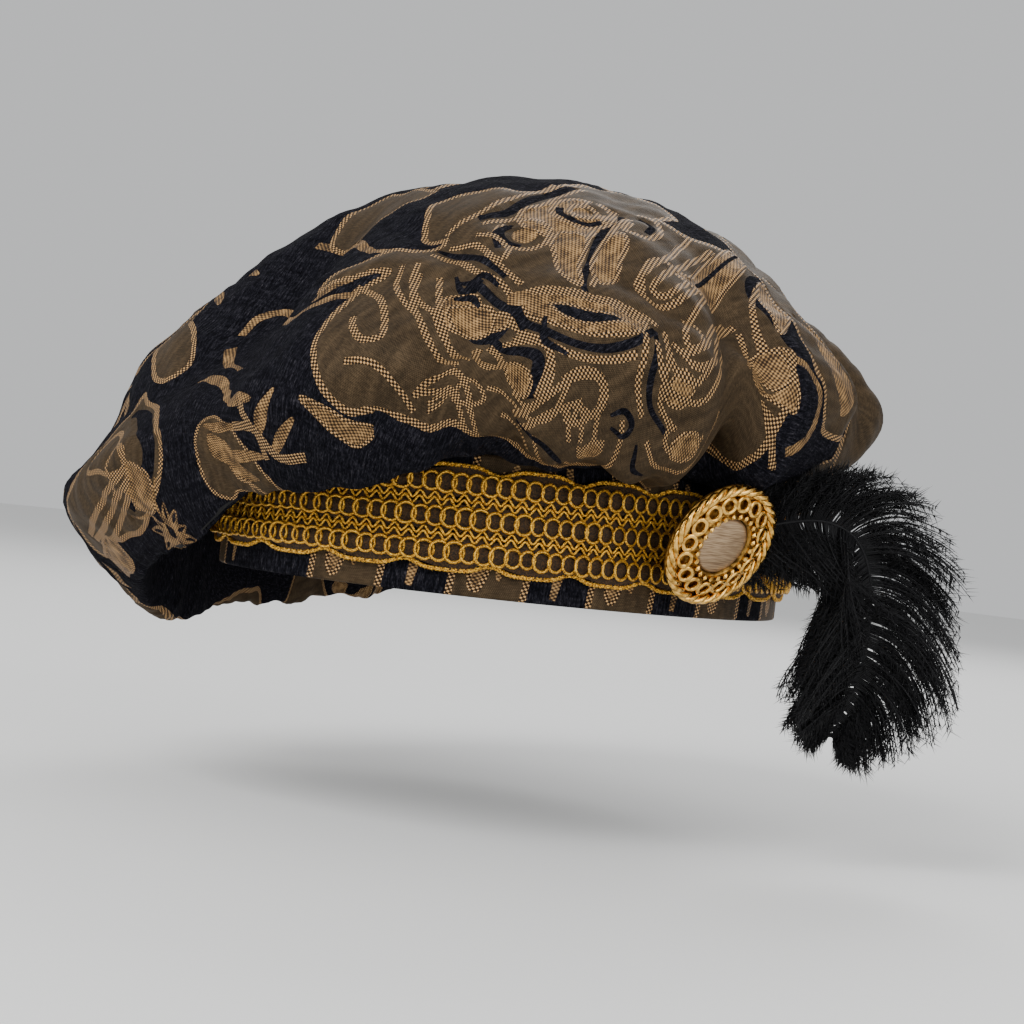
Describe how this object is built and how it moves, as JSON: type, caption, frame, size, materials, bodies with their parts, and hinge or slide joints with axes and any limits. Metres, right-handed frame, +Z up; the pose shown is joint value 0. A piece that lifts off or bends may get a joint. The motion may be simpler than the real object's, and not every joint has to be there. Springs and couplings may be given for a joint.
{
  "type": "muffin hat",
  "caption": "Soft puffed brocade hat gathered on a headband, with gold braid, a gilt button and a black plume at the side.",
  "frame": {"origin": "centre of the head opening, in the plane of the headband's lower edge", "axes": "+Z up through the crown, -Y to the wearer's front, +X to the wearer's left, where the button and the plume are"},
  "size_m": [0.2735, 0.2632, 0.1725],
  "materials": {
    "crown": "figured brocade: black chenille pile, bronze satin and gold twill scrolls",
    "headband": "the crown's brocade, folded over a flat band",
    "braid": "metallic gold gimp braid with rows of loops and small gaps",
    "button_frame": "polished gilt casting with a rope rim, loops and beads",
    "button_centre": "brushed satin gilt, browner than the frame",
    "button_shank": "plain dull metal post, hidden behind the button",
    "plume": "black ostrich feather: long soft barbs clumped in wisps"
  },
  "bodies": {
    "root": {"crown": "crown", "headband": "headband", "braid": "braid", "button_frame": "button_frame", "button_centre": "button_centre", "button_shank": "button_shank", "plume": "plume"}
  },
  "joints": []
}
